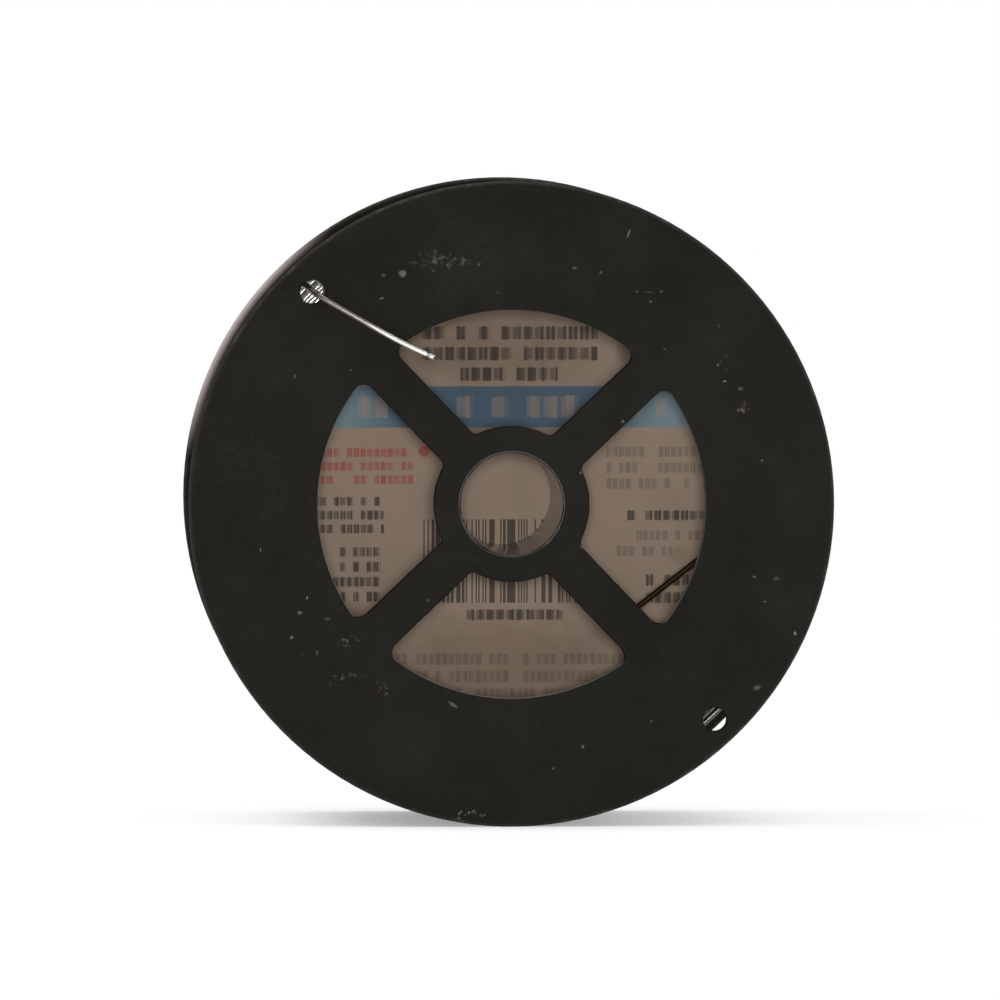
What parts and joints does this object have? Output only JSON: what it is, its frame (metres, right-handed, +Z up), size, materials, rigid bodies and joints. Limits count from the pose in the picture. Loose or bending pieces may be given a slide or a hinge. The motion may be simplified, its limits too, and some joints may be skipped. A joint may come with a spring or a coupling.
{
  "type": "mig welding wire spool",
  "caption": "Small plastic spool of steel welding wire with a windowed flange, a hub bore for a spindle, a paper label disc and the wire's end anchored through the flange.",
  "frame": {"origin": "centre of the spindle bore, half way between the outer faces of the two flanges", "axes": "Y is the spool's axis, -Y looks out of the plain windowed flange and +Y out of the labelled flange; +Z is up as it stands on its two rims; +X is right seen from the plain side"},
  "size_m": [0.1016, 0.0468, 0.1016],
  "materials": {
    "spool_plastic": "satin black injection moulding, lightly scuffed and dusty",
    "wire_steel": "bright drawn steel wire, wound turn beside turn",
    "label_paper": "thin white paper with a pale blue band and plain dark print rows"
  },
  "bodies": {
    "root": {"spool": "spool_plastic", "wire": "wire_steel", "label": "label_paper"}
  },
  "joints": []
}
